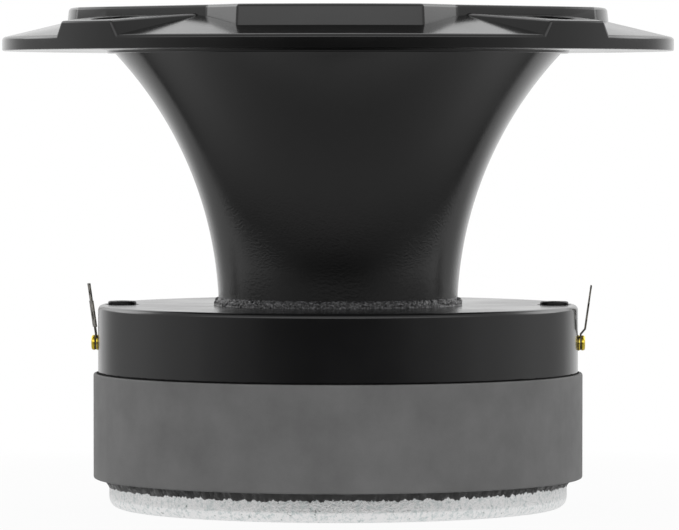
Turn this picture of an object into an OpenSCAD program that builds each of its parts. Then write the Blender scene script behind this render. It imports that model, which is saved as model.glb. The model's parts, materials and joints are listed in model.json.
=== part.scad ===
// Horn tweeter for a car: a compression driver with a ferrite ring magnet, under a cast flared horn
// whose round flange bolts to a panel. All sizes are in millimetres.
// Frame: the origin is the centre of the back plate's underside and +Z points out of the horn's mouth.
// The terminals stand on the +X and -X sides.

/* [Magnet system] */
// Outer diameter of the ferrite ring
magnet_d = 100; // [90:0.5:120]
// Thickness of the ferrite ring
magnet_t = 21.4; // [15:0.1:28]
// Bore of the ferrite ring
magnet_bore_d = 60; // [54:0.5:64]
// How far the back plate's edge lies inside the ferrite ring's edge
plate_inset = 3.2; // [2:0.1:6]
// Thickness of the back plate
plate_t = 6; // [4:0.1:8]
// Rounding of the back plate's lower edge
plate_edge_r = 2.2; // [0.5:0.1:2.5]
// Thickness of the front pole plate
top_plate_t = 4.5; // [4:0.1:7]
// Leg of the adhesive fillet squeezed out under the ferrite ring
lower_glue_leg = 1.3; // [0.4:0.1:1.5]
// Leg of the adhesive fillet squeezed out over the ferrite ring
upper_glue_leg = 0.4; // [0.2:0.1:1]

/* [Moving parts] */
// Inner diameter of the voice coil former
coil_d = 44.2; // [38:0.1:53]
// Wall of the former
former_t = 0.1; // [0.08:0.01:0.2]
// Depth of the winding on the former
winding_t = 0.55; // [0.3:0.05:0.7]
// Height of the winding
winding_h = 5.5; // [4:0.1:7]
// Air gap between the pole and the former
pole_gap = 0.3; // [0.25:0.05:0.5]
// Air gap between the winding and the front pole plate
plate_gap = 0.45; // [0.35:0.05:0.6]
// Crown height of the dome
dome_h = 8.5; // [6:0.1:10]
// Thickness of the dome's foil
dome_t = 0.12; // [0.1:0.01:0.2]
// Width of the surround's half roll
roll_w = 3; // [2:0.1:4]
// Thickness of the surround film
surround_t = 0.25; // [0.15:0.05:0.4]

/* [Diaphragm mounting] */
// Thickness of the ring under the surround
ring_t = 1.8; // [1.5:0.1:2.4]
// Thickness of the clamping ring over the surround
clamp_t = 1.6; // [1.2:0.1:2]
// Radial width of both rings
ring_w = 7; // [6.4:0.1:8]
// Width of the surround's clamped edge
clamped_w = 3; // [2:0.1:3]
// Radius of a diaphragm screw's shank
small_screw_r = 1; // [0.8:0.1:1.2]
// Thickness of the felt pad on the pole
felt_t = 3; // [1:0.1:4]

/* [Front cap] */
// How far the cap's side lies inside the ferrite ring's edge
cap_inset = 0.95; // [0.5:0.05:3]
// Height of the cap
cap_h = 13.9; // [13:0.1:17]
// Thickness of the cap's skirt
cap_wall = 2.5; // [2:0.1:3]
// Thickness of the cap's top
cap_top_t = 3.3; // [3:0.1:4]
// Rounding of the cap's upper edge
cap_edge_r = 1; // [0.5:0.1:2]
// Distance from a cap screw's axis to the cap's side
cap_screw_inset = 4.85; // [4.6:0.05:6]
// Radius of a cap screw's shank
cap_screw_r = 1.5; // [1.2:0.1:1.6]
// Radius of the counterbore over a cap screw
counterbore_r = 3.5; // [3:0.1:4]

/* [Horn] */
// Length of the neck and flare, from the cap to the flange's mounting face
horn_l = 51.8; // [44:0.1:64]
// Radius of the mouth
mouth_r = 46; // [40:0.1:49]
// How far the throat's wall lies inside the former
throat_step = 1.1; // [0.8:0.1:1.5]
// Wall of the neck at the cap
neck_wall = 3.4; // [2.8:0.1:4]
// Radial wall of the flare where it meets the flange
root_wall = 7.5; // [5:0.05:9]
// Radius of the arc that the flare's outer wall follows
flare_arc_r = 77.9; // [70:0.1:95]
// Depth of the shoulder that seats the neck on the cap
neck_shoulder = 0.7; // [0.4:0.1:1]
// Radius of the bead that seals the neck's foot
bead_r = 1.1; // [0.8:0.1:2]

/* [Flange] */
// Outer diameter of the flange
flange_d = 137; // [136:0.5:170]
// Thickness of the flange at its rim
rim_t = 2.7; // [2.2:0.05:4]
// Rise of the flange's top per millimetre towards the mouth
rim_slope = 0.24; // [0.1:0.01:0.3]
// Height of the raised mouth ring above the mounting face
ring_h = 8.7; // [8:0.1:12]
// Reach of the ring's front and back blocks beyond the mouth
front_reach = 15.3; // [12:0.1:16]
// Half width of the front and back blocks
front_half = 18.2; // [12:0.1:20]
// Reach of the ring's side blocks beyond the mouth
side_reach = 9.7; // [7:0.1:12]
// Half width of the side blocks
side_half = 17.5; // [12:0.1:19]
// Wall of the ring on the diagonals
diagonal_wall = 5.05; // [4:0.05:6]
// Diameter of the circle through the mounting holes
bolt_circle_d = 121; // [119:0.5:123]
// Diameter of a mounting hole
bolt_hole_d = 5.2; // [4:0.1:6]
// Width of a screw pad's foot at the rim
pad_w = 17.7; // [14:0.1:19]

/* [Phase plug] */
// Air gap between the dome and the plug
chamber_gap = 0.8; // [0.7:0.05:1.2]
// Width of the ring-shaped throat round the plug
throat_slot = 2.6; // [2:0.1:3.5]
// Length of the plug's nose above the cap
nose_l = 34; // [28:0.5:40]
// Number of fins that hold the plug
fin_count = 3; // [3:1:6]
// Thickness of a fin
fin_t = 1.6; // [1.2:0.1:2]

/* [Terminals] */
// Height of a terminal's axis above the front pole plate
terminal_rise = 1.6; // [1.4:0.05:2]
// Thickness of a solder lug
lug_t = 0.3; // [0.25:0.05:0.6]
// Length of a lug's blade
blade_l = 9; // [7:0.1:11]
// Outward lean of a blade in degrees
blade_lean = 8; // [0:1:15]
// Lean of the right lug's neck, which is bent outwards, in degrees
right_neck_lean = 40; // [0:1:50]
// Hand twist of the left blade in degrees
left_twist = 12; // [0:1:15]
// Diameter of the lead wires
wire_d = 0.6; // [0.4:0.1:0.6]

/* [Hidden] */
$fn = 160;
// Overshoot of a cut beyond the face it opens
cut = 1;
// Clearance of a screw, pin or spigot in its hole
fit_gap = 0.05;

// Levels, from the back plate's underside upwards
z_magnet = plate_t;
z_cap = z_magnet + magnet_t;
z_gap = z_cap + top_plate_t;
z_surround = z_gap + ring_t;
z_clamp = z_surround + surround_t;
z_gasket = z_clamp + clamp_t;
z_ceiling = z_cap + cap_h - cap_top_t;
z_neck = z_cap + cap_h;
z_flange = z_neck + horn_l;
z_mouth = z_flange + ring_h;

// Voice coil and magnetic gap
former_ir = coil_d / 2;
former_or = former_ir + former_t;
coil_or = former_or + winding_t;
pole_r = former_ir - pole_gap;
gap_r = coil_or + plate_gap;
z_coil = z_cap + top_plate_t / 2 - winding_h / 2;

// Dome: a spherical cap that stands on the former
dome_sphere_r = (former_or * former_or + dome_h * dome_h) / (2 * dome_h);
dome_centre_z = z_surround + dome_h - dome_sphere_r;

// Surround and its rings
roll_start = former_or + 1.2;
roll_end = roll_start + roll_w;
ring_ir = roll_end;
ring_or = ring_ir + ring_w;
small_screw_circle = ring_or - 2;
small_head_r = 1.8 * small_screw_r;
small_head_h = 1.2;
lead_angle = 12;
groove_w = 2;
groove_depth = 1;

// Cap
magnet_r = magnet_d / 2;
plate_r = magnet_r - plate_inset;
cap_r = magnet_r - cap_inset;
cap_ir = cap_r - cap_wall;
top_plate_r = cap_ir - 0.25;
cap_screw_circle = cap_r - cap_screw_inset;
counterbore_depth = 2;
cap_head_r = counterbore_r - 0.6;
cap_head_h = 2.7;
hex_socket_depth = 1.5;
hex_socket_r = 1.45;

// Horn: the bore is one arc that starts parallel to the axis at the cap
throat_r = former_ir - throat_step;
neck_r = throat_r + neck_wall;
spigot_r = neck_r - neck_shoulder;
spigot_gap = 1.85;
z_spigot = z_clamp + spigot_gap;
mouth_rise = mouth_r - throat_r;
mouth_l = horn_l + ring_h;
inner_arc_r = (mouth_rise * mouth_rise + mouth_l * mouth_l) / (2 * mouth_rise);
root_ir = throat_r + inner_arc_r - sqrt(inner_arc_r * inner_arc_r - horn_l * horn_l);
root_r = root_ir + root_wall;
// The outer wall's arc runs from the neck's foot to the root at the flange
flare_chord = [root_r - neck_r, horn_l];
flare_sag = sqrt(flare_arc_r * flare_arc_r - flare_chord * flare_chord / 4);
flare_centre = [neck_r, z_neck] + flare_chord / 2 + flare_sag * unit([horn_l, neck_r - root_r]);
root_step_t = 0.5;
root_step_w = 1.7;
lip_r = 1.2;

// Flange
flange_r = flange_d / 2;
rim_edge_r = 0.6;
pad_draft = 29.6;
pad_splay = 20;
pad_rim_rise = 2.8;
pad_slope = 4.8;
spotface_r = 4.75;
spotface_depth = 0.4;
diagonal_sum = (mouth_r + diagonal_wall) * sqrt(2);
front_r = mouth_r + front_reach;
side_r = mouth_r + side_reach;
front_root_half = front_half + 6.6;
side_root_half = side_half + 8.5;
ring_draft = 0.985;
ring_foot = 1;

// Phase plug
plug_r = throat_r - throat_slot;
plug_centre_r = (nose_l * nose_l - plug_r * plug_r) / (2 * plug_r);
plug_arc_r = plug_centre_r + plug_r;
nose_tip_r = 2.5;
nose_tip_z = z_neck + sqrt(pow(plug_arc_r - nose_tip_r, 2) - plug_centre_r * plug_centre_r);
nose_blend_z = z_neck + (nose_tip_z - z_neck) * plug_arc_r / (plug_arc_r - nose_tip_r);
seat_r = throat_r + 1.1;
seat_depth = 4;
seat_ring_t = 3;
fin_h = 7;

// Terminals
z_terminal = z_gap + terminal_rise;
rivet_r = 0.9;
rivet_head_r = 1.55;
rivet_head_t = 0.75;
collar_t = 0.25;
rivet_clinch_r = 1.2;
rivet_clinch_t = 0.3;
bush_r = 1.45;
bush_flange_r = 1.6;
bush_flange_t = 0.15;
bush_inner_r = 1.6;
lug_ring_r = 1.45;
lug_neck_w = 2.7;
lug_neck_l = 1.8;
lug_step_l = 1.4;
blade_w = 4.6;
blade_tip_w = 2.8;
blade_shoulder = 5.4;
blade_hole_r = 0.9;
tip_hole_r = 0.6;

// Route of one lead, from the former round the cap screw to the rivet
lead_z = z_surround - groove_depth / 2;
lead_start_r = former_or + wire_d / 2 + 0.02;
lead_route = [
    concat(polar(lead_start_r, -lead_angle), lead_z - 0.3),
    concat(polar((lead_start_r + ring_ir) / 2, -lead_angle), lead_z - 0.6),
    concat(polar(ring_ir + 0.3, -lead_angle), lead_z),
    concat(polar(ring_or + 0.5, -lead_angle), lead_z),
    [cap_screw_circle - 2, -5, z_terminal],
    [cap_screw_circle + 0.6, -3, z_terminal],
    [cap_screw_circle + 1.52, -1.05, z_terminal],
];

function polar(r, a) = [r * cos(a), r * sin(a)];
function unit(v) = v / norm(v);
// A screw pad's top and half width, rho from the axis and z above the flange's mounting face
function pad_top(rho) = rim_t + pad_rim_rise + (flange_r - rho) * tan(pad_slope);
function pad_half(rho, z) =
    pad_w / 2 + (flange_r - rho) * tan(pad_splay) - (z - rim_t) * tan(pad_draft);
function heading(route, i) = unit(route[min(i + 1, len(route) - 1)] - route[max(i - 1, 0)]);

// A tube of round section along a route of points that never runs straight up
module tube(route, d, sides = 8) {
    last = len(route) - 1;
    rings = [
        for (i = [0:last])
            let (ahead = heading(route, i), side = unit(cross([0, 0, 1], ahead)), up = cross(ahead, side))
                for (k = [0:sides - 1])
                    route[i] + d / 2 * (cos(360 * k / sides) * side + sin(360 * k / sides) * up)
    ];
    walls = [
        for (i = [0:last - 1])
            for (k = [0:sides - 1])
                let (a = i * sides + k, b = i * sides + (k + 1) % sides) [a, b, b + sides, a + sides]
    ];
    first_face = [for (k = [sides - 1:-1:0]) k];
    last_face = [for (k = [0:sides - 1]) last * sides + k];
    polyhedron(points = rings, faces = concat(walls, [first_face], [last_face]));
}

// A flat ring from z upwards
module ring(inner_r, outer_r, z, t) {
    translate([0, 0, z])
        difference() {
            cylinder(r = outer_r, h = t);
            translate([0, 0, -cut])
                cylinder(r = inner_r, h = t + 2 * cut);
        }
}

// Repeats its children at equal angles round the axis
module around(count, radius, start = 0) {
    for (i = [0:count - 1])
        rotate([0, 0, start + 360 * i / count])
            translate([radius, 0, 0])
                children();
}

// Repeats its children on both terminal sides
module both_sides() {
    for (turn = [0, 180])
        rotate([0, 0, turn])
            children();
}

// Lays a cylinder's axis along +X, from radius x outwards, at the terminal's height
module radial_disc(r, x, t) {
    translate([x, 0, z_terminal])
        rotate([0, 90, 0])
            cylinder(r = r, h = t, $fn = 48);
}

// Half section of a disc with a rounded edge below
module rounded_disc_section(r, t, edge_r) {
    translate([0, edge_r])
        square([r, t - edge_r]);
    square([r - edge_r, t]);
    translate([r - edge_r, edge_r])
        circle(r = edge_r, $fn = 48);
}

// T-yoke: back plate and pole pressed from one piece of steel
module back_yoke() {
    centre_dimple_r = 3;
    color("silver")
        difference() {
            union() {
                rotate_extrude()
                    rounded_disc_section(plate_r, plate_t, plate_edge_r);
                cylinder(r = pole_r, h = z_gap);
            }
            translate([0, 0, -cut])
                cylinder(r = centre_dimple_r, h = cut + 1.2);
        }
}

module magnet_ring() {
    color("dimgray")
        ring(magnet_bore_d / 2, magnet_r, z_magnet, magnet_t);
}

// Triangular fillet of squeezed-out adhesive round an edge of radius r, on a face at height z
module adhesive_fillet(r, z, leg, up) {
    color([0.08, 0.08, 0.09])
        rotate_extrude()
            polygon([[r, z], [r + leg, z], [r, z + up * leg]]);
}

module lower_adhesive() {
    adhesive_fillet(plate_r, z_magnet, lower_glue_leg, -1);
}

module upper_adhesive() {
    adhesive_fillet(cap_r, z_cap, upper_glue_leg, 1);
}

module top_plate() {
    color("lightslategray")
        difference() {
            ring(gap_r, top_plate_r, z_cap, top_plate_t);
            around(2, cap_screw_circle)
                translate([0, 0, z_cap - cut])
                    cylinder(r = cap_screw_r + fit_gap, h = top_plate_t + 2 * cut, $fn = 48);
            around(4, small_screw_circle, 45)
                translate([0, 0, z_cap - cut])
                    cylinder(r = small_screw_r + fit_gap, h = top_plate_t + 2 * cut, $fn = 32);
            around(2, small_screw_circle, 90)
                translate([0, 0, z_cap + 2])
                    cylinder(r = small_screw_r + fit_gap, h = top_plate_t, $fn = 32);
        }
}

module front_cap() {
    color([0.09, 0.09, 0.1])
        difference() {
            translate([0, 0, z_neck])
                mirror([0, 0, 1])
                    rotate_extrude()
                        rounded_disc_section(cap_r, cap_h, cap_edge_r);
            translate([0, 0, z_cap - cut])
                cylinder(r = cap_ir, h = z_ceiling - z_cap + cut);
            translate([0, 0, z_ceiling - cut])
                cylinder(r = spigot_r + fit_gap, h = cap_top_t + 2 * cut);
            around(2, cap_screw_circle) {
                translate([0, 0, z_ceiling - cut])
                    cylinder(r = cap_screw_r + 4 * fit_gap, h = cap_top_t + cut, $fn = 48);
                translate([0, 0, z_neck - counterbore_depth])
                    cylinder(r = counterbore_r, h = counterbore_depth + cut, $fn = 64);
            }
            both_sides()
                radial_disc(bush_r + fit_gap, cap_ir - cut, cap_wall + 2 * cut);
        }
}

// Everything outside the neck and flare lies inside this circle
module outside_flare() {
    translate(flare_centre)
        circle(r = flare_arc_r, $fn = 360);
}

// Half section of the horn's solid outline, as if its bore were filled
module horn_outline() {
    rim_top = z_flange + rim_t;
    hub_r = mouth_r;
    translate([0, z_spigot])
        square([spigot_r, z_neck - z_spigot + cut]);
    difference() {
        translate([0, z_neck])
            square([root_r, horn_l + cut]);
        outside_flare();
    }
    translate([0, z_flange - root_step_t])
        square([root_r + root_step_w, root_step_t]);
    translate([0, z_flange])
        square([flange_r, rim_t - rim_edge_r]);
    translate([flange_r - rim_edge_r, rim_top - rim_edge_r])
        circle(r = rim_edge_r, $fn = 48);
    polygon([
        [0, z_flange],
        [flange_r - rim_edge_r, z_flange],
        [flange_r - rim_edge_r, rim_top],
        [hub_r, rim_top + rim_slope * (flange_r - hub_r)],
        [0, rim_top + rim_slope * (flange_r - hub_r)],
    ]);
}

// Half section of the air inside the horn
module horn_bore() {
    difference() {
        translate([0, z_neck])
            square([mouth_r + 2 * lip_r, mouth_l + cut]);
        translate([throat_r + inner_arc_r, z_neck])
            circle(r = inner_arc_r, $fn = 360);
    }
    translate([0, z_spigot - cut])
        square([throat_r, z_neck - z_spigot + 2 * cut]);
    translate([0, z_spigot - cut])
        square([seat_r, seat_depth + cut]);
}

// Plan of the raised ring: a block on each side, joined by walls across the diagonals
module mouth_ring_plan() {
    side_corner = sqrt(side_r * side_r - side_half * side_half);
    front_corner = sqrt(front_r * front_r - front_half * front_half);
    quarter = [
        [side_r, side_half],
        [side_corner, side_half],
        [diagonal_sum - side_root_half, side_root_half],
        [front_root_half, diagonal_sum - front_root_half],
        [front_half, front_corner],
        [front_half, front_r],
    ];
    last = len(quarter) - 1;
    left = [for (i = [last:-1:0]) [-quarter[i][0], quarter[i][1]]];
    polygon(concat(quarter, left, -quarter, -left));
}

// Raised ring: the drafted plan, with the blocks' outer faces round about the axis
module mouth_ring() {
    h = ring_h - ring_foot;
    translate([0, 0, z_flange + ring_foot])
        intersection() {
            linear_extrude(h, scale = ring_draft)
                mouth_ring_plan();
            union() {
                cylinder(r1 = side_r, r2 = side_r * ring_draft, h = h);
                intersection() {
                    cylinder(r1 = front_r, r2 = front_r * ring_draft, h = h);
                    translate([-diagonal_sum / 2, -front_r, 0])
                        cube([diagonal_sum, 2 * front_r, h]);
                }
            }
        }
}

// Screw pad along +X: drafted sides that splay inwards and a top that rises towards the mouth
module screw_pad() {
    foot_z = ring_foot;
    corners = [
        for (rho = [mouth_r + 2.5, flange_r + cut])
            for (z = [foot_z, pad_top(rho)])
                for (side = [-1, 1])
                    [rho, side * pad_half(rho, z), z_flange + z]
    ];
    polyhedron(
        points = corners,
        faces = [[4, 5, 1, 0], [3, 7, 6, 2], [1, 3, 2, 0], [6, 7, 5, 4], [2, 6, 4, 0], [5, 7, 3, 1]]
    );
}

module horn() {
    color([0.08, 0.08, 0.09])
        difference() {
            union() {
                rotate_extrude()
                    horn_outline();
                mouth_ring();
                intersection() {
                    around(4, 0, 45)
                        screw_pad();
                    translate([0, 0, z_flange])
                        cylinder(r = flange_r, h = ring_h);
                }
            }
            rotate_extrude()
                horn_bore();
            around(4, bolt_circle_d / 2, 45) {
                translate([0, 0, z_flange - cut])
                    cylinder(r = bolt_hole_d / 2, h = ring_h + cut, $fn = 48);
                translate([0, 0, z_flange + pad_top(bolt_circle_d / 2) - spotface_depth])
                    cylinder(r = spotface_r, h = ring_h, $fn = 64);
            }
        }
}

// Bead of filler where the neck meets the cap
module neck_bead() {
    color([0.2, 0.2, 0.21])
        rotate_extrude()
            intersection() {
                translate([neck_r, z_neck + 0.5])
                    circle(r = bead_r, $fn = 48);
                translate([0, z_neck])
                    square([neck_r + 2 * bead_r, 3 * bead_r]);
                outside_flare();
            }
}

// Half section of the plug: a cylinder under a pointed arch with a rounded tip
module plug_section() {
    foot = z_neck - 6;
    translate([0, foot])
        square([plug_r, z_neck - foot]);
    intersection() {
        translate([-plug_centre_r, z_neck])
            circle(r = plug_arc_r, $fn = 240);
        translate([0, z_neck])
            square([plug_r, nose_blend_z - z_neck]);
    }
    intersection() {
        translate([0, nose_tip_z])
            circle(r = nose_tip_r, $fn = 48);
        translate([0, z_neck])
            square([nose_tip_r, 2 * nose_l]);
    }
}

module phase_plug() {
    fin_z = z_spigot + seat_depth - seat_ring_t;
    color([0.13, 0.13, 0.14])
        difference() {
            union() {
                rotate_extrude()
                    plug_section();
                ring(throat_r, seat_r - fit_gap, fin_z, seat_ring_t);
                around(fin_count, 0, 90)
                    translate([plug_r / 2, -fin_t / 2, fin_z])
                        cube([throat_r - 0.1 - plug_r / 2, fin_t, fin_h]);
                around(fin_count, 0, 90)
                    translate([plug_r, -fin_t / 2, fin_z])
                        cube([throat_r + 0.5 - plug_r, fin_t, seat_ring_t]);
            }
            translate([0, 0, dome_centre_z])
                sphere(r = dome_sphere_r + chamber_gap, $fn = 180);
        }
}

module diaphragm_dome() {
    color("gainsboro")
        intersection() {
            translate([0, 0, dome_centre_z])
                difference() {
                    sphere(r = dome_sphere_r, $fn = 180);
                    sphere(r = dome_sphere_r - dome_t, $fn = 180);
                }
            translate([0, 0, z_surround])
                cylinder(r = 2 * coil_d, h = 2 * dome_h);
        }
}

module coil_former() {
    color("peru")
        ring(former_ir, former_or, z_coil - 0.2, z_surround - z_coil + 0.2);
}

module voice_coil() {
    color("orangered")
        ring(former_or, coil_or, z_coil, winding_h);
}

// Film with an inner foot on the former, a half roll and a clamped outer edge
module surround() {
    foot_t = 0.9;
    roll_c = (roll_start + roll_end) / 2;
    outer_arc = roll_w / 2 + surround_t / 2;
    color([0.25, 0.22, 0.18])
        rotate_extrude() {
            translate([former_or, z_surround - foot_t])
                square([surround_t, foot_t]);
            translate([former_or, z_surround])
                square([roll_start - former_or + surround_t / 2, surround_t]);
            intersection() {
                translate([roll_c, z_surround])
                    difference() {
                        circle(r = outer_arc, $fn = 64);
                        circle(r = outer_arc - surround_t, $fn = 64);
                    }
                translate([roll_start - 1, z_surround])
                    square([roll_w + 2, roll_w]);
            }
            translate([roll_end - surround_t / 2, z_surround])
                square([clamped_w + surround_t / 2, surround_t]);
        }
}

// Hole pattern shared by both rings and the pole plate
module small_holes(z, h) {
    around(4, small_screw_circle, 45)
        translate([0, 0, z])
            cylinder(r = small_screw_r + fit_gap, h = h, $fn = 32);
    around(2, small_screw_circle, 90)
        translate([0, 0, z])
            cylinder(r = small_screw_r + fit_gap, h = h, $fn = 32);
}

module diaphragm_ring() {
    color("whitesmoke")
        difference() {
            ring(ring_ir, ring_or, z_gap, ring_t);
            small_holes(z_gap - cut, ring_t + 2 * cut);
            both_sides()
                rotate([0, 0, -lead_angle])
                    translate([ring_ir - cut, -groove_w / 2, z_surround - groove_depth])
                        cube([ring_w + 2 * cut, groove_w, groove_depth + cut]);
        }
}

module clamp_ring() {
    roll_relief = 0.3;
    color("lightgray")
        difference() {
            ring(ring_ir + roll_relief, ring_or, z_clamp, clamp_t);
            small_holes(z_clamp - cut, clamp_t + 2 * cut);
        }
}

module chamber_gasket() {
    color([0.05, 0.05, 0.05])
        ring(ring_ir + 0.5, small_screw_circle - small_head_r - 0.3, z_gasket, z_ceiling - z_gasket);
}

module damping_pad() {
    color("darkolivegreen")
        translate([0, 0, z_gap])
            cylinder(r = pole_r - 6, h = felt_t);
}

module diaphragm_screws() {
    socket_depth = 0.7;
    color("slategray")
        around(4, small_screw_circle, 45)
            difference() {
                union() {
                    translate([0, 0, z_cap + 1])
                        cylinder(r = small_screw_r, h = z_gasket - z_cap - 1, $fn = 32);
                    translate([0, 0, z_gasket])
                        cylinder(r = small_head_r, h = small_head_h, $fn = 32);
                }
                for (turn = [0, 90])
                    translate([0, 0, z_gasket + small_head_h - socket_depth / 2])
                        rotate([0, 0, turn])
                            cube([2 * small_screw_r, 0.4, socket_depth], center = true);
            }
}

module locating_pins() {
    color("goldenrod")
        around(2, small_screw_circle, 90)
            translate([0, 0, z_cap + 2])
                cylinder(r = small_screw_r, h = z_gasket - z_cap - 2, $fn = 32);
}

module lead_wires() {
    color("coral")
        both_sides()
            tube(lead_route, wire_d);
}

// Front view of a blade: a broad shank, a narrow tip and two wire holes
module blade(twist) {
    tip_l = blade_l - blade_shoulder;
    rotate([0, 0, twist])
        difference() {
            union() {
                translate([-lug_t / 2, -blade_w / 2, 0])
                    cube([lug_t, blade_w, blade_shoulder]);
                translate([-lug_t / 2, -blade_tip_w / 2, 0])
                    cube([lug_t, blade_tip_w, blade_l]);
            }
            translate([-cut, 0, blade_shoulder / 2 - 0.3])
                rotate([0, 90, 0])
                    cylinder(r = blade_hole_r, h = 2 * cut, $fn = 32);
            translate([-cut, 0, blade_shoulder + tip_l / 2])
                rotate([0, 90, 0])
                    cylinder(r = tip_hole_r, h = 2 * cut, $fn = 32);
        }
}

// Solder lug on the +X side: a ring on the bush, a bent neck and a leaning blade
module lug(neck_lean, twist) {
    lug_x = cap_r + bush_flange_t + collar_t + lug_t / 2;
    bend = [lug_x, 0, z_terminal + lug_neck_l];
    elbow = bend + lug_step_l * [sin(neck_lean), 0, cos(neck_lean)];
    color("darkgray")
        union() {
            difference() {
                union() {
                    radial_disc(lug_ring_r, lug_x - lug_t / 2, lug_t);
                    translate([lug_x - lug_t / 2, -lug_neck_w / 2, z_terminal])
                        cube([lug_t, lug_neck_w, lug_neck_l]);
                }
                radial_disc(rivet_r + fit_gap, lug_x - cut, 2 * cut);
            }
            translate(bend)
                rotate([0, neck_lean, 0])
                    translate([-lug_t / 2, -lug_neck_w / 2, 0])
                        cube([lug_t, lug_neck_w, lug_step_l]);
            for (corner = [bend, elbow])
                translate(corner)
                    rotate([90, 0, 0])
                        cylinder(r = lug_t / 2, h = lug_neck_w, center = true, $fn = 32);
            translate(elbow)
                rotate([0, blade_lean, 0])
                    blade(twist);
        }
}

module terminal_left() {
    rotate([0, 0, 180])
        lug(blade_lean, left_twist);
}

module terminal_right() {
    lug(right_neck_lean, 0);
}

// Shouldered posts: the collar stands on the bush, and the end is clinched over the lug
module terminal_rivets() {
    collar_x = cap_r + bush_flange_t;
    head_x = collar_x + collar_t + lug_t;
    tail_x = cap_ir - 0.2 - rivet_clinch_t;
    color("gold")
        both_sides() {
            radial_disc(rivet_r, tail_x, head_x - tail_x + rivet_head_t / 2);
            radial_disc(rivet_head_r, collar_x, collar_t);
            radial_disc(rivet_head_r, head_x, rivet_head_t);
            radial_disc(rivet_clinch_r, tail_x, rivet_clinch_t);
        }
}

module terminal_bushes() {
    inner_x = cap_ir - 0.2;
    color([0.35, 0.2, 0.1])
        both_sides()
            difference() {
                union() {
                    radial_disc(bush_r, inner_x, cap_r - inner_x);
                    radial_disc(bush_inner_r, inner_x, 0.15);
                    radial_disc(bush_flange_r, cap_r, bush_flange_t);
                }
                radial_disc(rivet_r + fit_gap, inner_x - cut, cap_wall + 3 * cut);
            }
}

module cap_screws() {
    head_z = z_neck - counterbore_depth;
    color([0.05, 0.05, 0.05])
        around(2, cap_screw_circle)
            difference() {
                union() {
                    translate([0, 0, z_cap + 0.6])
                        cylinder(r = cap_screw_r, h = head_z - z_cap - 0.6, $fn = 48);
                    translate([0, 0, head_z])
                        cylinder(r = cap_head_r, h = cap_head_h, $fn = 64);
                }
                translate([0, 0, head_z + cap_head_h - hex_socket_depth])
                    cylinder(r = hex_socket_r, h = cap_head_h, $fn = 6);
            }
}

back_yoke();
magnet_ring();
lower_adhesive();
upper_adhesive();
top_plate();
front_cap();
horn();
neck_bead();
phase_plug();
diaphragm_dome();
coil_former();
voice_coil();
surround();
diaphragm_ring();
clamp_ring();
chamber_gasket();
damping_pad();
diaphragm_screws();
locating_pins();
lead_wires();
terminal_left();
terminal_right();
terminal_rivets();
terminal_bushes();
cap_screws();
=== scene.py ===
import json
import math

import bmesh
import bpy
from mathutils import Matrix, Vector, noise


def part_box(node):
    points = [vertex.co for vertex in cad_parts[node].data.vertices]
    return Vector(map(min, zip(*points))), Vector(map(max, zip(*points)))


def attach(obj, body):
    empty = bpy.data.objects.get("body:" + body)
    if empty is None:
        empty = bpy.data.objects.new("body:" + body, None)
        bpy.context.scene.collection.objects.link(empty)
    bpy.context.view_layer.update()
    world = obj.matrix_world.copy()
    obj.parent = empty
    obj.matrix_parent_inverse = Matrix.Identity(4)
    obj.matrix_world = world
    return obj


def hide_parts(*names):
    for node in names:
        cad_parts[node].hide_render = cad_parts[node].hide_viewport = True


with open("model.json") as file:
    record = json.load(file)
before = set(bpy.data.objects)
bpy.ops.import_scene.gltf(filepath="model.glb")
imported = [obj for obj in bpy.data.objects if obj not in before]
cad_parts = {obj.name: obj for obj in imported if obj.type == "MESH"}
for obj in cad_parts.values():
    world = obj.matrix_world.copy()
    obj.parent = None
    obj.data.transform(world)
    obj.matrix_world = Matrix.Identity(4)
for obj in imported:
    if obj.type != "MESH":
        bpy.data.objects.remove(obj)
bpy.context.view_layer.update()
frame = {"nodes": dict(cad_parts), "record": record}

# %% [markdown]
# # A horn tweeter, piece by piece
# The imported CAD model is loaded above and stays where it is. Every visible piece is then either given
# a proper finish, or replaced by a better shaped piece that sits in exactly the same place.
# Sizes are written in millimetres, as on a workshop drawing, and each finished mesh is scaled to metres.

MM = 0.001
FULL_TURN = 2 * math.pi

# %% [markdown]
# ## The camera
# A long lens from about a metre away keeps perspective weak, so upright walls stay upright. The camera
# stands between the cap and the flange, so the cap's top is seen a little from above, as a thin ellipse,
# and the flange a little from below.

# %% Camera
CAMERA_DISTANCE = 1104
CAMERA_HEIGHT = 83
CAMERA_TURN = math.radians(1.5)
CAMERA_SIDESTEP = 0.3
CAMERA_PITCH = math.radians(1.744)
SENSOR_W = 36.0
LENS = 286.3

camera = bpy.data.objects.new("camera", bpy.data.cameras.new("camera"))
bpy.context.scene.collection.objects.link(camera)
camera.data.sensor_width = SENSOR_W
camera.data.lens = LENS
camera.data.clip_start = 0.05
camera.data.clip_end = 50
place = Matrix.Rotation(CAMERA_TURN, 4, "Z") @ Matrix.Translation(
    Vector((CAMERA_SIDESTEP, -CAMERA_DISTANCE, CAMERA_HEIGHT)) * MM
)
camera.matrix_world = place @ Matrix.Rotation(math.pi / 2 - CAMERA_PITCH, 4, "X")
bpy.context.scene.camera = camera
bpy.context.scene.view_settings.view_transform = "Standard"
print("camera at", [round(v, 3) for v in camera.matrix_world.translation])


# %% [markdown]
# ## Node and colour helpers
# Colours are picked as sRGB hex values, and Blender's sockets want linear numbers, so one function
# converts them. Another adds a node, fills in its settings and links it, which keeps a node tree
# readable as a short list.

# %% Helpers for node trees
def linear(hex_colour, alpha=1.0):
    """An sRGB hex colour as linear RGBA."""
    channels = [int(hex_colour[i : i + 2], 16) / 255 for i in (1, 3, 5)]
    return tuple(c / 12.92 if c <= 0.04045 else ((c + 0.055) / 1.055) ** 2.4 for c in channels) + (alpha,)


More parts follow.
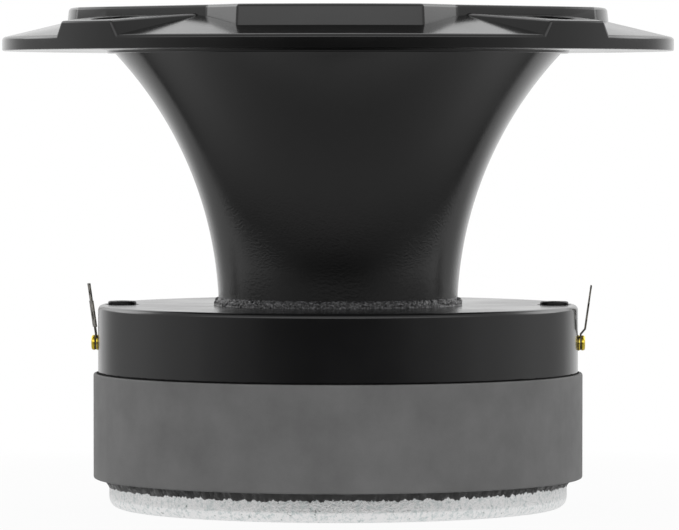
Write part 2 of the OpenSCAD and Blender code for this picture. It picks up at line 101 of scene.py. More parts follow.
def add(tree, kind, inputs=None, **settings):
    """Adds a node. inputs maps a socket's name or number to a value, or to the output that feeds it."""
    node = tree.nodes.new(kind)
    for key, value in settings.items():
        setattr(node, key, value)
    for key, value in (inputs or {}).items():
        if isinstance(value, bpy.types.NodeSocket):
            tree.links.new(value, node.inputs[key])
        else:
            node.inputs[key].default_value = value
    return node


def new_finish(name):
    """An empty material with its tree, its shader and the piece's own coordinates, in millimetres."""
    material = bpy.data.materials.new(name)
    material.use_nodes = True
    tree = material.node_tree
    shader = tree.nodes["Principled BSDF"]
    place = add(tree, "ShaderNodeTexCoord").outputs["Object"]
    in_mm = add(tree, "ShaderNodeVectorMath", {0: place, "Scale": 1 / MM}, operation="SCALE")
    return material, tree, shader, in_mm.outputs["Vector"]


# %% [markdown]
# ## Light and backdrop
# Black lacquer shows almost nothing but what it reflects. The room is therefore a soft ring of light at
# eye level, bright at the sides and dim where the camera stands, under a bright band of ceiling light.
# The ring leaves the middle of each round piece deep black, and the band draws every edge that faces up.
# The backdrop is plain white to the camera, and so it is in a reflection that looks at it.

# %% World: ring of light at eye level
world = bpy.data.worlds.new("studio")
bpy.context.scene.world = world
world.use_nodes = True
tree = world.node_tree
tree.nodes.clear()
direction = add(tree, "ShaderNodeTexCoord").outputs["Generated"]
axes = add(tree, "ShaderNodeSeparateXYZ", {0: direction})
towards_camera = add(tree, "ShaderNodeMath", {0: axes.outputs["Y"], 1: -0.5, 2: 0.5},
                     operation="MULTIPLY_ADD")
RING_STOPS = [(0.0, 0.46), (0.15, 0.5), (0.4, 0.78), (0.66, 0.7), (0.75, 0.5), (0.86, 0.33),
              (0.94, 0.15), (1.0, 0.07)]
CEILING_STOPS = [(0.0, 0.02), (0.12, 0.06), (0.19, 0.9), (0.24, 1.0), (0.48, 1.0), (0.62, 0.4), (1.0, 0.35)]
AROUND_STOPS = [(0.0, 1.0), (0.3, 1.0), (0.44, 0.4), (0.56, 0.4), (0.75, 0.85), (1.0, 0.9)]
CEILING_LEVEL = 2.0


def profile(source, stops_wanted):
    """A grey ramp through the given (position, level) stops."""
    ramp = add(tree, "ShaderNodeValToRGB", {0: source})
    ramp.color_ramp.interpolation = "EASE"
    stops = ramp.color_ramp.elements
    for i, (position, level) in enumerate(stops_wanted):
        stop = stops[i] if i < len(stops) else stops.new(position)
        stop.position = position
        stop.color = (level, level, level, 1)
    return ramp.outputs[0]


ring_of_light = profile(towards_camera.outputs[0], RING_STOPS)
around = add(tree, "ShaderNodeMath", {0: profile(towards_camera.outputs[0], AROUND_STOPS), 1: CEILING_LEVEL},
             operation="MULTIPLY")
ceiling = add(tree, "ShaderNodeMath", {0: profile(axes.outputs["Z"], CEILING_STOPS), 1: around.outputs[0]},
              operation="MULTIPLY")
room = add(tree, "ShaderNodeMath", {0: ring_of_light, 1: ceiling.outputs[0]}, operation="MAXIMUM")
print("room levels from behind to the camera side:", [level for _, level in RING_STOPS])

# %% World: white backdrop
path = add(tree, "ShaderNodeLightPath")
backdrop_side = add(tree, "ShaderNodeMapRange", {"Value": axes.outputs["Y"],
                                                 "From Min": 0.75, "From Max": 0.95})
mirrored = add(tree, "ShaderNodeMath", {0: path.outputs["Is Glossy Ray"], 1: backdrop_side.outputs[0]},
               operation="MULTIPLY")
looked_at = add(tree, "ShaderNodeMath", {0: path.outputs["Is Camera Ray"],
                                         1: path.outputs["Is Transmission Ray"]}, operation="MAXIMUM")
shows_backdrop = add(tree, "ShaderNodeMath", {0: mirrored.outputs[0], 1: looked_at.outputs[0]},
                     operation="MAXIMUM")
strength = add(tree, "ShaderNodeMix", {0: shows_backdrop.outputs[0], 2: room.outputs[0], 3: 1.0})
background = add(tree, "ShaderNodeBackground", {"Color": (1, 1, 1, 1), "Strength": strength.outputs[0]})
add(tree, "ShaderNodeOutputWorld", {"Surface": background.outputs[0]})
print("world nodes:", len(tree.nodes))

# %% Lamps
LAMP_TARGET = (0, 0, 50)
LAMPS = {
    "left_softbox": ((-640, 380, 340), (300, 400), 0.5),
    "right_softbox": ((640, 380, 340), (300, 400), 0.5),
    "top_softbox": ((0, 250, 800), (700, 500), 1.2),
}
for name, (where, size, watts) in LAMPS.items():
    lamp = bpy.data.lights.new(name, "AREA")
    lamp.shape = "RECTANGLE"
    lamp.size, lamp.size_y = size[0] * MM, size[1] * MM
    lamp.energy = watts
    holder = bpy.data.objects.new(name, lamp)
    bpy.context.scene.collection.objects.link(holder)
    holder.location = Vector(where) * MM
    aim = Vector(LAMP_TARGET) * MM - holder.location
    holder.rotation_euler = aim.to_track_quat("-Z", "Y").to_euler()
    holder.visible_camera = False
print("lamps:", list(LAMPS))

# %% [markdown]
# The floor is a white table top not much wider than the object, because a wider one would show as a pale
# sheen in every upright black wall. It takes the shadow, and it fades into the white backdrop at its edge.
# Mirrored in metal, and only there, it glows: brightly close to the back plate and dimly further out, a
# painted reflection, though the floor there lies in the object's shadow. It lies a hair below the plate,
# so that the two faces don't coincide.

# %% Floor
# White paper is matt: it takes a soft shadow and has no highlight.
TABLE_R = 190
TABLE_FADE_R = 110
TABLE_DROP = 0.1
SEEN_GLOW = 0.95
PAINTED_GLOW_NEAR = 0.6
MIRRORED_FAR = 0.1
PAINTED_GLOW_REACH = (50, 75)
table = bmesh.new()
bmesh.ops.create_circle(table, cap_ends=True, segments=128, radius=TABLE_R * MM)
bmesh.ops.translate(table, verts=table.verts, vec=(0, 0, -TABLE_DROP * MM))
floor_data = bpy.data.meshes.new("floor")
table.to_mesh(floor_data)
table.free()
floor = bpy.data.objects.new("floor", floor_data)
bpy.context.scene.collection.objects.link(floor)
paper, tree, shader, place = new_finish("white_paper_table_top")
shader.inputs["Roughness"].default_value = 0.9
glow = add(tree, "ShaderNodeEmission", {"Color": (1, 1, 1, 1), "Strength": 1.0})
reach = add(tree, "ShaderNodeVectorMath", {0: place}, operation="LENGTH")
outer = add(tree, "ShaderNodeMapRange", {"Value": reach.outputs["Value"], "From Min": TABLE_FADE_R,
                                         "From Max": TABLE_R}).outputs[0]
tone = add(tree, "ShaderNodeMix", {0: outer, 6: linear("#b8b8b8"), 7: linear("#101010")}, data_type="RGBA")
tree.links.new(tone.outputs[2], shader.inputs["Base Color"])
path = add(tree, "ShaderNodeLightPath")
looked_at = add(tree, "ShaderNodeMath", {0: path.outputs["Is Camera Ray"],
                                         1: path.outputs["Is Transmission Ray"]}, operation="MAXIMUM")
seen = add(tree, "ShaderNodeMapRange", {"Value": outer, "To Min": SEEN_GLOW, "To Max": 1.0})
# Painted reflection: for mirror rays the floor glows strongly next to the back plate and weakly further out,
# where no lamp lights it.
painted_glow_by_plate = add(tree, "ShaderNodeMapRange", {"Value": reach.outputs["Value"],
                                            "From Min": PAINTED_GLOW_REACH[0], "From Max": PAINTED_GLOW_REACH[1],
                                            "To Min": PAINTED_GLOW_NEAR, "To Max": MIRRORED_FAR})
mirrored = add(tree, "ShaderNodeMix", {0: outer, 2: painted_glow_by_plate.outputs[0], 3: 0.0})
shares = [add(tree, "ShaderNodeMath", {0: ray, 1: amount.outputs[0]}, operation="MULTIPLY").outputs[0]
          for ray, amount in ((looked_at.outputs[0], seen), (path.outputs["Is Glossy Ray"], mirrored))]
glow_share = add(tree, "ShaderNodeMath", {0: shares[0], 1: shares[1]}, operation="MAXIMUM")
mixed = add(tree, "ShaderNodeMixShader", {0: glow_share.outputs[0], 1: shader.outputs[0],
                                          2: glow.outputs[0]})
tree.links.new(mixed.outputs[0], tree.nodes["Material Output"].inputs["Surface"])
floor_data.materials.append(paper)
print("floor is", round(floor.dimensions.x, 2), "m wide")


# %% [markdown]
# ## Finishes
# Each finish starts from its real material and process, and its pattern scales come from a size in
# millimetres, because the coordinates above are in millimetres.

# %% Cast aluminium under black powder paint
# Powder melts into a thick satin skin: a deep black that mirrors the room softly, with a fine orange peel.
# Low on the neck the rough casting shows through it. Its grain is too fine to show, so one noise of
# 0.45 mm stands for both.
CLOUD_MM = 18
NECK_GRAIN_TOP = 80.0
NECK_GRAIN_FOOT = 45.0
BASE_GRAIN = 0.08


def powder_paint(name, hex_colour, roughness, grain_mm, grain_depth_mm, neck_grain=0.0):
    """Satin paint with a fine orange peel, which may get coarser down the neck."""
    material, tree, shader, place = new_finish(name)
    cloud = add(tree, "ShaderNodeTexNoise", {"Vector": place, "Scale": 1 / CLOUD_MM, "Detail": 3.0})
    tone = add(tree, "ShaderNodeMapRange", {"Value": cloud.outputs[0], "To Min": 0.85, "To Max": 1.2})
    base = add(tree, "ShaderNodeMix", {0: 1.0, 6: linear(hex_colour), 7: tone.outputs[0]},
               data_type="RGBA", blend_type="MULTIPLY")
    tree.links.new(base.outputs[2], shader.inputs["Base Color"])
    rough = add(tree, "ShaderNodeMapRange", {"Value": cloud.outputs[0], "From Min": 0.3, "From Max": 0.7,
                                             "To Min": roughness - 0.04, "To Max": roughness + 0.04})
    tree.links.new(rough.outputs[0], shader.inputs["Roughness"])
    peel = add(tree, "ShaderNodeTexNoise", {"Vector": place, "Scale": 1 / grain_mm, "Detail": 2.0,
                                            "Roughness": 0.6})
    height = add(tree, "ShaderNodeSeparateXYZ", {0: place}).outputs["Z"]
    low_on_neck = add(tree, "ShaderNodeMapRange", {"Value": height, "From Min": NECK_GRAIN_TOP,
                                                   "From Max": NECK_GRAIN_FOOT, "To Min": BASE_GRAIN,
                                                   "To Max": BASE_GRAIN + neck_grain})
    bump = add(tree, "ShaderNodeBump", {"Height": peel.outputs[0], "Distance": grain_depth_mm * MM,
                                        "Strength": low_on_neck.outputs[0]})
    tree.links.new(bump.outputs[0], shader.inputs["Normal"])
    return material


horn_paint = powder_paint("powder_painted_casting", "#090909", 0.16, 0.45, 0.05, neck_grain=0.9)
cap_paint = powder_paint("powder_painted_cap", "#0b0b0c", 0.2, 0.45, 0.05)
plug_paint = powder_paint("black_anodised_plug", "#141415", 0.4, 0.4, 0.02)
print("paints:", horn_paint.name, cap_paint.name, plug_paint.name)

# %% Rough filler at the neck's foot
# Filler that is smeared on dries in lumps. Their tops are painted light grey as a painted highlight and the
# pits between them near black as painted shade, so one noise drives both this painted light and the bump.
filler, tree, shader, place = new_finish("trowelled_filler")
shader.inputs["Roughness"].default_value = 0.3
lumps = add(tree, "ShaderNodeTexNoise", {"Vector": place, "Scale": 1 / 0.45, "Detail": 3.0, "Roughness": 0.7})
# Painted highlight and painted shade: light grey on the lumps' tops, near black in the pits.
shade = add(tree, "ShaderNodeValToRGB", {0: lumps.outputs[0]})
shade.color_ramp.elements[0].position, shade.color_ramp.elements[0].color = 0.45, linear("#1a1a1b")
shade.color_ramp.elements[1].position, shade.color_ramp.elements[1].color = 0.75, linear("#808082")
tree.links.new(shade.outputs[0], shader.inputs["Base Color"])
bump = add(tree, "ShaderNodeBump", {"Height": lumps.outputs[0], "Distance": 0.25 * MM, "Strength": 1.0})
tree.links.new(bump.outputs[0], shader.inputs["Normal"])
print("finish:", filler.name)

# %% Sintered ferrite
# Ferrite is a ceramic: a dull mid grey, faintly clouded, gritty like a whetstone. Its real grain is too
# fine to show, so it is drawn at 0.35 mm.
ferrite, tree, shader, place = new_finish("sintered_ferrite")
cloud = add(tree, "ShaderNodeTexNoise", {"Vector": place, "Scale": 1 / 9, "Detail": 5.0, "Roughness": 0.6})
shade = add(tree, "ShaderNodeValToRGB", {0: cloud.outputs[0]})
shade.color_ramp.elements[0].position, shade.color_ramp.elements[0].color = 0.3, linear("#656565")
shade.color_ramp.elements[1].position, shade.color_ramp.elements[1].color = 0.7, linear("#737373")
tree.links.new(shade.outputs[0], shader.inputs["Base Color"])
shader.inputs["Roughness"].default_value = 0.62
grit = add(tree, "ShaderNodeTexNoise", {"Vector": place, "Scale": 1 / 0.35, "Detail": 2.0})
bump = add(tree, "ShaderNodeBump", {"Height": grit.outputs[0], "Distance": 0.03 * MM, "Strength": 0.5})
tree.links.new(bump.outputs[0], shader.inputs["Normal"])
print("finish:", ferrite.name)

# %% Bright zinc plate
# Zinc plate is a cool white metal. Small crystals break up what it mirrors, and a few worn flecks are
# duller. The real ones are finer, and are drawn at 0.45 to 0.9 mm so that they show.
zinc, tree, shader, place = new_finish("bright_zinc_plated_steel")
shader.inputs["Metallic"].default_value = 1.0
cloud = add(tree, "ShaderNodeTexNoise", {"Vector": place, "Scale": 1 / 0.9, "Detail": 4.0, "Roughness": 0.75})
shade = add(tree, "ShaderNodeValToRGB", {0: cloud.outputs[0]})
shade.color_ramp.elements[0].position, shade.color_ramp.elements[0].color = 0.3, linear("#ced9d9")
shade.color_ramp.elements[1].position, shade.color_ramp.elements[1].color = 0.52, linear("#ffffff")
fleck = add(tree, "ShaderNodeTexNoise", {"Vector": place, "Scale": 1 / 0.7, "Detail": 2.0, "Roughness": 0.5})
spots = add(tree, "ShaderNodeMapRange", {"Value": fleck.outputs[0], "From Min": 0.66, "From Max": 0.76})
worn = add(tree, "ShaderNodeMix", {0: spots.outputs[0], 6: shade.outputs[0], 7: linear("#8d9693")},
           data_type="RGBA")
tree.links.new(worn.outputs[2], shader.inputs["Base Color"])
rough = add(tree, "ShaderNodeMapRange", {"Value": cloud.outputs[0], "To Min": 0.26, "To Max": 0.16})
tree.links.new(rough.outputs[0], shader.inputs["Roughness"])
grain = add(tree, "ShaderNodeTexNoise", {"Vector": place, "Scale": 1 / 0.45, "Detail": 2.0})
bump = add(tree, "ShaderNodeBump", {"Height": grain.outputs[0], "Distance": 0.05 * MM, "Strength": 0.8})
tree.links.new(bump.outputs[0], shader.inputs["Normal"])
print("finish:", zinc.name)


# %% Plain finishes for small and inner pieces
def plain_finish(name, hex_low, hex_high, roughness, patch_mm, metallic=0.0, depth_mm=0.02, specular=0.5):
    """A finish with a two-tone cloud of the given patch size, and a bump of the same pattern."""
    material, tree, shader, place = new_finish(name)
    shader.inputs["Metallic"].default_value = metallic
    shader.inputs["Roughness"].default_value = roughness
    shader.inputs["Specular IOR Level"].default_value = specular
    cloud = add(tree, "ShaderNodeTexNoise", {"Vector": place, "Scale": 1 / patch_mm, "Detail": 3.0})
    shade = add(tree, "ShaderNodeValToRGB", {0: cloud.outputs[0]})
    shade.color_ramp.elements[0].position, shade.color_ramp.elements[0].color = 0.3, linear(hex_low)
    shade.color_ramp.elements[1].position, shade.color_ramp.elements[1].color = 0.7, linear(hex_high)
    tree.links.new(shade.outputs[0], shader.inputs["Base Color"])
    bump = add(tree, "ShaderNodeBump", {"Height": cloud.outputs[0], "Distance": depth_mm * MM,
                                        "Strength": 0.5})
    tree.links.new(bump.outputs[0], shader.inputs["Normal"])
    return material


FINISHES = {
    # Epoxy sets with a wet look: near black, with small sharp highlights.
    "black_adhesive": plain_finish("cured_black_epoxy", "#030303", "#0d0d0e", 0.12, 0.5, depth_mm=0.3),
    # Turned brass is a warm yellow metal, its reflections blurred a little by the tool's marks.
    "brass": plain_finish("turned_brass", "#d6b52c", "#f0dc62", 0.28, 0.8, metallic=1.0),
    # Tarnished tin is blotchy: dull grey where it is clean, and almost black where it is stained.
    "tinned_brass": plain_finish("tarnished_tin_plate", "#0d0c0b", "#8a857a", 0.5, 0.9, metallic=0.7),
    # Phenolic paper is a matt brown board.
    "phenolic": plain_finish("phenolic_paper", "#3a2113", "#4d2d1a", 0.55, 0.5),
    # Black oxide leaves steel almost black, with a soft metal sheen.
    "blackened_steel": plain_finish("blackened_screw_steel", "#141414", "#232323", 0.4, 0.7, metallic=0.6),
    # Titanium foil is a warm grey metal with a smooth, slightly blurred shine.
    "titanium_foil": plain_finish("pressed_titanium_foil", "#8d8b88", "#a3a19d", 0.3, 2.0, metallic=1.0),
    # Polyimide is an amber film with a smooth gloss.
    "polyimide_film": plain_finish("polyimide_film", "#9a5a1c", "#b06f2a", 0.25, 1.5),
    # Tinted enamel makes aluminium wire look like copper.
    "enamelled_wire": plain_finish("enamelled_aluminium_wire", "#a8582e", "#c4733f", 0.3, 0.5, metallic=0.8),
    # This polyester film is smoky brown and glossy.
    "polyester_film": plain_finish("polyester_film", "#3c352b", "#4a4236", 0.3, 1.5),
    # Moulded nylon is a warm white with a dull shine.
    "white_plastic": plain_finish("moulded_white_nylon", "#d8d6cf", "#e6e4de", 0.5, 3.0),
    # Stamped aluminium is a pale neutral metal with a soft sheen.
    "bare_aluminium": plain_finish("stamped_aluminium", "#b4b6b8", "#c9cbcc", 0.35, 1.0, metallic=1.0),
    # Foam is black and has no highlight.
    "foam_rubber": plain_finish("closed_cell_foam", "#0d0d0d", "#1b1b1b", 0.9, 0.4, depth_mm=0.1),
    # Felt is a matt greenish grey with small lumps of fibre.
    "felt": plain_finish("wool_felt", "#4b4e42", "#63665a", 0.95, 0.6, depth_mm=0.15),
    "zinc_plated_steel": zinc,
    "ferrite": ferrite,
    "black_casting": horn_paint,
    "grey_filler": filler,
    "black_plug": plug_paint,
}
for part in frame["record"]["subparts"]:
    node = frame["nodes"][part["node"]]
    node.data.materials.clear()
    node.data.materials.append(FINISHES[part["material_slot"]])
frame["nodes"]["front_cap"].data.materials[0] = cap_paint
# The upper glue line is near black with almost no shine, so it reads as a thin black gap: painted shade where
# the joint lies in shadow.
shadow_gap_glue = plain_finish("black_epoxy_as_painted_shadow_gap", "#040404", "#0a0a0a", 0.9, 0.5, specular=0.1)
print("finishes on", len(frame["nodes"]), "CAD nodes")


# %% [markdown]
# ## Modelling helpers
# Most pieces of a loudspeaker driver are turned or cast round one axis. A profile is drawn as a chain of
# edges, its corners are bevelled while it is still a line, and a spin turns it into a solid.

# %% Profiles and solids
def draw(bm, moves):
    """Draws a chain in the XZ plane.

    A move is (radius, height), or (centre radius, centre height, degrees, steps) for an arc.
    """
    radius, height = moves[0]
    chain = [bm.verts.new((radius, 0, height))]
    for move in moves[1:]:
        if len(move) == 2:
            chain.append(bm.verts.new((move[0], 0, move[1])))
            bm.edges.new(chain[-2:])
        else:
            swept = bmesh.ops.spin(bm, geom=[chain[-1]], cent=(move[0], 0, move[1]), axis=(0, 1, 0),
                                   angle=math.radians(move[2]), steps=move[3], use_merge=False)
            chain.append(swept["geom_last"][0])
    return chain


def soften(bm, corners, radius, segments=4):
    """Rounds corners of a chain, each a vertex, with arcs."""
    bmesh.ops.bevel(bm, geom=corners, offset=radius, affect="VERTICES", segments=segments, profile=0.5,
                    material=-1)


def revolve(bm, steps):
    """Turns all that is drawn into a closed solid round the Z axis."""
    bmesh.ops.spin(bm, geom=bm.verts[:] + bm.edges[:], cent=(0, 0, 0), axis=(0, 0, 1),
                   angle=FULL_TURN, steps=steps, use_merge=True)
    bmesh.ops.remove_doubles(bm, verts=bm.verts, dist=1e-4)
    bmesh.ops.recalc_face_normals(bm, faces=bm.faces)


def corners_at(bm, *points):
    """The vertices of a chain at the given radii and heights."""
    return [min(bm.verts, key=lambda v: (v.co - Vector((r, 0, z))).length) for r, z in points]


def solid(name, bm):
    """A plain object from a mesh in millimetres, in metres, not yet a finished piece."""
    bmesh.ops.scale(bm, vec=(MM, MM, MM), verts=bm.verts)
    data = bpy.data.meshes.new(name)
    bm.to_mesh(data)
    bm.free()
    body = bpy.data.objects.new(name, data)
    bpy.context.scene.collection.objects.link(body)
    return body


def combine(target, others, operation):
    """Joins other solids to a target, or cuts them away, and removes them."""
    for other in others:
        step = target.modifiers.new("step", "BOOLEAN")
        step.operation, step.solver, step.object = operation, "EXACT", other
    evaluated = target.evaluated_get(bpy.context.evaluated_depsgraph_get())
    result = bpy.data.meshes.new_from_object(evaluated)
    target.modifiers.clear()
    target.data = result
    for other in others:
        bpy.data.objects.remove(other)
    return target


def finish_piece(piece, body, slot_name, material, *nodes, sharp=35):
    """Smooths what is round, keeps sharper edges crisp, and puts the piece in its CAD node's place."""
    piece.data.materials.clear()
    piece.data.materials.append(material)
    piece.data.shade_smooth()
    piece.data.set_sharp_from_angle(angle=math.radians(sharp))
    weighted = piece.modifiers.new("even_shading", "WEIGHTED_NORMAL")
    weighted.keep_sharp = True
    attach(piece, body)
    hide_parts(*nodes)
    triangles = sum(len(face.vertices) - 2 for face in piece.data.polygons)
    print(f"{piece.name}: {triangles} triangles, size", [round(v / MM, 1) for v in piece.dimensions])


# %% Levels read from the CAD nodes
def level(node, end):
    """The lowest (0) or highest (1) point of a CAD node, in millimetres."""
    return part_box(node)[end].z / MM


def radius_of(node):
    """The largest radius of a CAD node along X, in millimetres."""
    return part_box(node)[1].x / MM


Z_MAGNET = level("magnet_ring", 0)
Z_CAP = level("magnet_ring", 1)
Z_NECK = level("front_cap", 1)
Z_SPIGOT = level("horn", 0)
Z_MOUTH = level("horn", 1)
Z_POLE = level("back_yoke", 1)
MAGNET_R = radius_of("magnet_ring")
PLATE_R = radius_of("back_yoke")
CAP_R = radius_of("front_cap")
FLANGE_R = radius_of("horn")
print("levels:", Z_MAGNET, Z_CAP, Z_NECK, Z_SPIGOT, Z_MOUTH, "radii:", MAGNET_R, PLATE_R, CAP_R, FLANGE_R)

# %% [markdown]
# ## The back plate
# The plate and the pole are pressed from one piece of soft steel and zinc plated. The press leaves
# a large rounding below and a fine edge above. The chain runs from the axis and back, so the spin closes it.

# %% Back plate and pole
PLATE_EDGE_R = 2.2
PLATE_FINE_EDGE_R = 0.3
POLE_R = 21.8
DIMPLE_R = 3
DIMPLE_DEPTH = 1.2
steel = bmesh.new()
draw(steel, [(0, DIMPLE_DEPTH), (DIMPLE_R, DIMPLE_DEPTH), (DIMPLE_R, 0), (PLATE_R, 0), (PLATE_R, Z_MAGNET),
             (POLE_R, Z_MAGNET), (POLE_R, Z_POLE), (0, Z_POLE)])
soften(steel, corners_at(steel, (PLATE_R, 0)), PLATE_EDGE_R, 8)
soften(steel, corners_at(steel, (DIMPLE_R, 0), (PLATE_R, Z_MAGNET), (POLE_R, Z_POLE)), PLATE_FINE_EDGE_R)
revolve(steel, 192)
plate = solid("back_plate", steel)
finish_piece(plate, "driver", "zinc_plated_steel", zinc, "back_yoke")

# %% [markdown]
# ## The ferrite ring
# Ferrite is pressed and sintered like a brick, then ground flat on both faces. Its edges crumble a little,
# so they get a small chamfer that noise makes uneven.

# %% Ferrite ring
MAGNET_BORE_R = 30
CHIP_WAVE = 2.5
CHIP_DEPTH = 0.12
MAGNET_EDGE = 0.35
ring = bmesh.new()
corners = draw(ring, [(MAGNET_BORE_R, Z_MAGNET), (MAGNET_R, Z_MAGNET), (MAGNET_R, Z_CAP),
                      (MAGNET_BORE_R, Z_CAP)])
ring.edges.new((corners[-1], corners[0]))
soften(ring, corners, MAGNET_EDGE, 2)
revolve(ring, 360)
for vert in ring.verts:
    edge_distance = min(abs(vert.co.z - Z_MAGNET), abs(vert.co.z - Z_CAP))
    outward = vert.co.xy.length
    if outward > MAGNET_R - 1 and 0.01 < edge_distance < 0.5:
        bite = CHIP_DEPTH * max(0.0, noise.noise(vert.co / CHIP_WAVE))
        vert.co.xy *= 1 - bite / outward
magnet = solid("ferrite_ring", ring)
finish_piece(magnet, "driver", "ferrite", ferrite, "magnet_ring")


# %% [markdown]
# ## Glue lines
# Epoxy squeezes out when the ring is pressed down on the plate and the cap. It hardens as an uneven
# black fillet: a profile spun round the axis, with noise that pulls its outer points in and out. The
# plate was pressed on a little askew, so there is more glue on the left.

# %% Glue lines
GLUE_SINK = 0.3
GLUE_STEPS = 1440
GLUE_MEAN = 0.75
GLUE_ASKEW = 0.15
GLUE_LEAST = 0.3
RIPPLE_MM = 1.3
FINE_RIPPLE_MM = 0.4
FINE_RIPPLE_SHARE = 0.9
STEADY_DROP = 0.35


def glue_line(name, radius, height, up, leg, hang, node, material, unevenness):
    """A fillet of glue with the given leg outwards and hang along the wall. up is 1 or -1."""
    bm = bmesh.new()
    corners = draw(bm, [(radius - GLUE_SINK, height), (radius + leg, height),
                        (radius + leg * 0.5, height + up * hang * 0.5),
                        (radius, height + up * hang), (radius - GLUE_SINK, height + up * hang)])
    bm.edges.new((corners[-1], corners[0]))
    revolve(bm, GLUE_STEPS)
    for vert in bm.verts:
        reach = vert.co.xy.length - radius
        drop = abs(vert.co.z - height)
        ripple = noise.noise(vert.co / RIPPLE_MM) + FINE_RIPPLE_SHARE * noise.noise(vert.co / FINE_RIPPLE_MM)
        wave = GLUE_MEAN - GLUE_ASKEW * vert.co.x / radius + unevenness * ripple
        wave = min(max(wave, GLUE_LEAST), 1.0)
        if reach > 0.01:
            vert.co.xy *= (radius + reach * wave) / vert.co.xy.length
        vert.co.z = height + up * drop * (STEADY_DROP + (1 - STEADY_DROP) * wave)
    line = solid(name, bm)
    finish_piece(line, "driver", "black_adhesive", material, node, sharp=60)


glue_line("glue_under_ring", PLATE_R, Z_MAGNET, -1, 1.3, 1.9, "lower_adhesive",
          FINISHES["black_adhesive"], 0.45)
glue_line("glue_over_ring", CAP_R, Z_CAP, 1, 0.4, 0.4, "upper_adhesive", shadow_gap_glue, 0.3)

# %% [markdown]
# ## The cap
# A shallow casting closes the driver. Its outer edge is rounded, and two counterbores take the screws.
# The turned solid is cut by cylinders, as a mill would do it.

# %% Cap
CAP_WALL = 2.5
CAP_EDGE_R = 1.0
CAP_FOOT_R = 0.2
CAP_TOP_T = 3.3
SPIGOT_HOLE_R = 23.75
SCREW_CIRCLE = CAP_R - 4.85
COUNTERBORE_R = 3.5
COUNTERBORE_DEPTH = 2.0
SCREW_CLEARANCE_R = 1.7
casting = bmesh.new()
corners = draw(casting, [(CAP_R - CAP_WALL, Z_CAP), (CAP_R, Z_CAP), (CAP_R, Z_NECK), (SPIGOT_HOLE_R, Z_NECK),
                         (SPIGOT_HOLE_R, Z_NECK - CAP_TOP_T), (CAP_R - CAP_WALL, Z_NECK - CAP_TOP_T)])
casting.edges.new((corners[-1], corners[0]))
soften(casting, corners[2:3], CAP_EDGE_R, 8)
soften(casting, corners[1:2], CAP_FOOT_R, 2)
revolve(casting, 192)
cap = solid("cap", casting)
cutters = []
for side in (-1, 1):
    for radius, depth in ((COUNTERBORE_R, COUNTERBORE_DEPTH), (SCREW_CLEARANCE_R, CAP_TOP_T + 1)):
        drill = bmesh.new()
        bmesh.ops.create_cone(drill, cap_ends=True, segments=64, radius1=radius, radius2=radius,
                              depth=depth + 2)
        bmesh.ops.translate(drill, verts=drill.verts, vec=(side * SCREW_CIRCLE, 0, Z_NECK - depth / 2 + 1))
        cutters.append(solid("drill", drill))
combine(cap, cutters, "DIFFERENCE")
finish_piece(cap, "driver", "black_casting", cap_paint, "front_cap")

# %% [markdown]
# ## Socket head cap screws
# The two M3 screws are bought parts. Their heads stand a little proud of the counterbores, with a
# rounded rim and a hexagon socket, and black oxide makes them as dark as the paint.

# %% Cap screws
SCREW_R = 1.5
SCREW_HEAD_R = COUNTERBORE_R - 0.6
SCREW_HEAD_H = 2.7
SOCKET_R = 1.45
SOCKET_DEPTH = 1.5
SCREW_RIM_R = 0.35
screw_foot = level("cap_screws", 0)
screw_top = level("cap_screws", 1)
screws = []
for side in (-1, 1):
    shank = bmesh.new()
    draw(shank, [(0, screw_foot), (SCREW_R, screw_foot), (SCREW_R, screw_top - SCREW_HEAD_H),
                 (SCREW_HEAD_R, screw_top - SCREW_HEAD_H), (SCREW_HEAD_R, screw_top), (0, screw_top)])
    soften(shank, corners_at(shank, (SCREW_HEAD_R, screw_top), (SCREW_R, screw_foot)), SCREW_RIM_R)
    soften(shank, corners_at(shank, (SCREW_HEAD_R, screw_top - SCREW_HEAD_H)), 0.1, 2)
    revolve(shank, 64)
    socket = bmesh.new()
    bmesh.ops.create_cone(socket, cap_ends=True, segments=6, radius1=SOCKET_R, radius2=SOCKET_R,
                          depth=2 * SOCKET_DEPTH)
    bmesh.ops.translate(socket, verts=socket.verts, vec=(side * SCREW_CIRCLE, 0, screw_top))
    bmesh.ops.translate(shank, verts=shank.verts, vec=(side * SCREW_CIRCLE, 0, 0))
    screws.append(combine(solid("cap_screw", shank), [solid("socket", socket)], "DIFFERENCE"))
combine(screws[0], screws[1:], "UNION")
finish_piece(screws[0], "driver", "blackened_steel", FINISHES["blackened_steel"], "cap_screws")

# %% [markdown]
# ## Terminal posts
# Each solder lug is held by a turned brass rivet with a collar behind the lug and a domed head before it.

# %% Terminal posts
POST_R = 0.9
POST_HEAD_R = 1.55
POST_HEAD_T = 0.75
POST_COLLAR_T = 0.25
POST_TAIL_R = 1.2
POST_TAIL_T = 0.3
POST_TAIL_GAP = 0.5
POST_DOME_R = 0.45
POST_EDGE_R = 0.08
LUG_T = 0.3
post_end = radius_of("terminal_rivets")
head_foot = post_end - POST_HEAD_T
collar_top = head_foot - LUG_T
tail = CAP_R - CAP_WALL - POST_TAIL_GAP
post_height = (level("terminal_rivets", 0) + level("terminal_rivets", 1)) / 2
posts = bmesh.new()
draw(posts, [(0, tail), (POST_TAIL_R, tail), (POST_TAIL_R, tail + POST_TAIL_T), (POST_R, tail + POST_TAIL_T),
             (POST_R, collar_top - POST_COLLAR_T), (POST_HEAD_R, collar_top - POST_COLLAR_T),
             (POST_HEAD_R, collar_top), (POST_R, collar_top), (POST_R, head_foot),
             (POST_HEAD_R, head_foot), (POST_HEAD_R, post_end), (0, post_end)])
soften(posts, corners_at(posts, (POST_HEAD_R, post_end)), POST_DOME_R, 6)
soften(posts, corners_at(posts, (POST_HEAD_R, head_foot), (POST_HEAD_R, collar_top), (POST_TAIL_R, tail)),
       POST_EDGE_R, 2)
revolve(posts, 64)
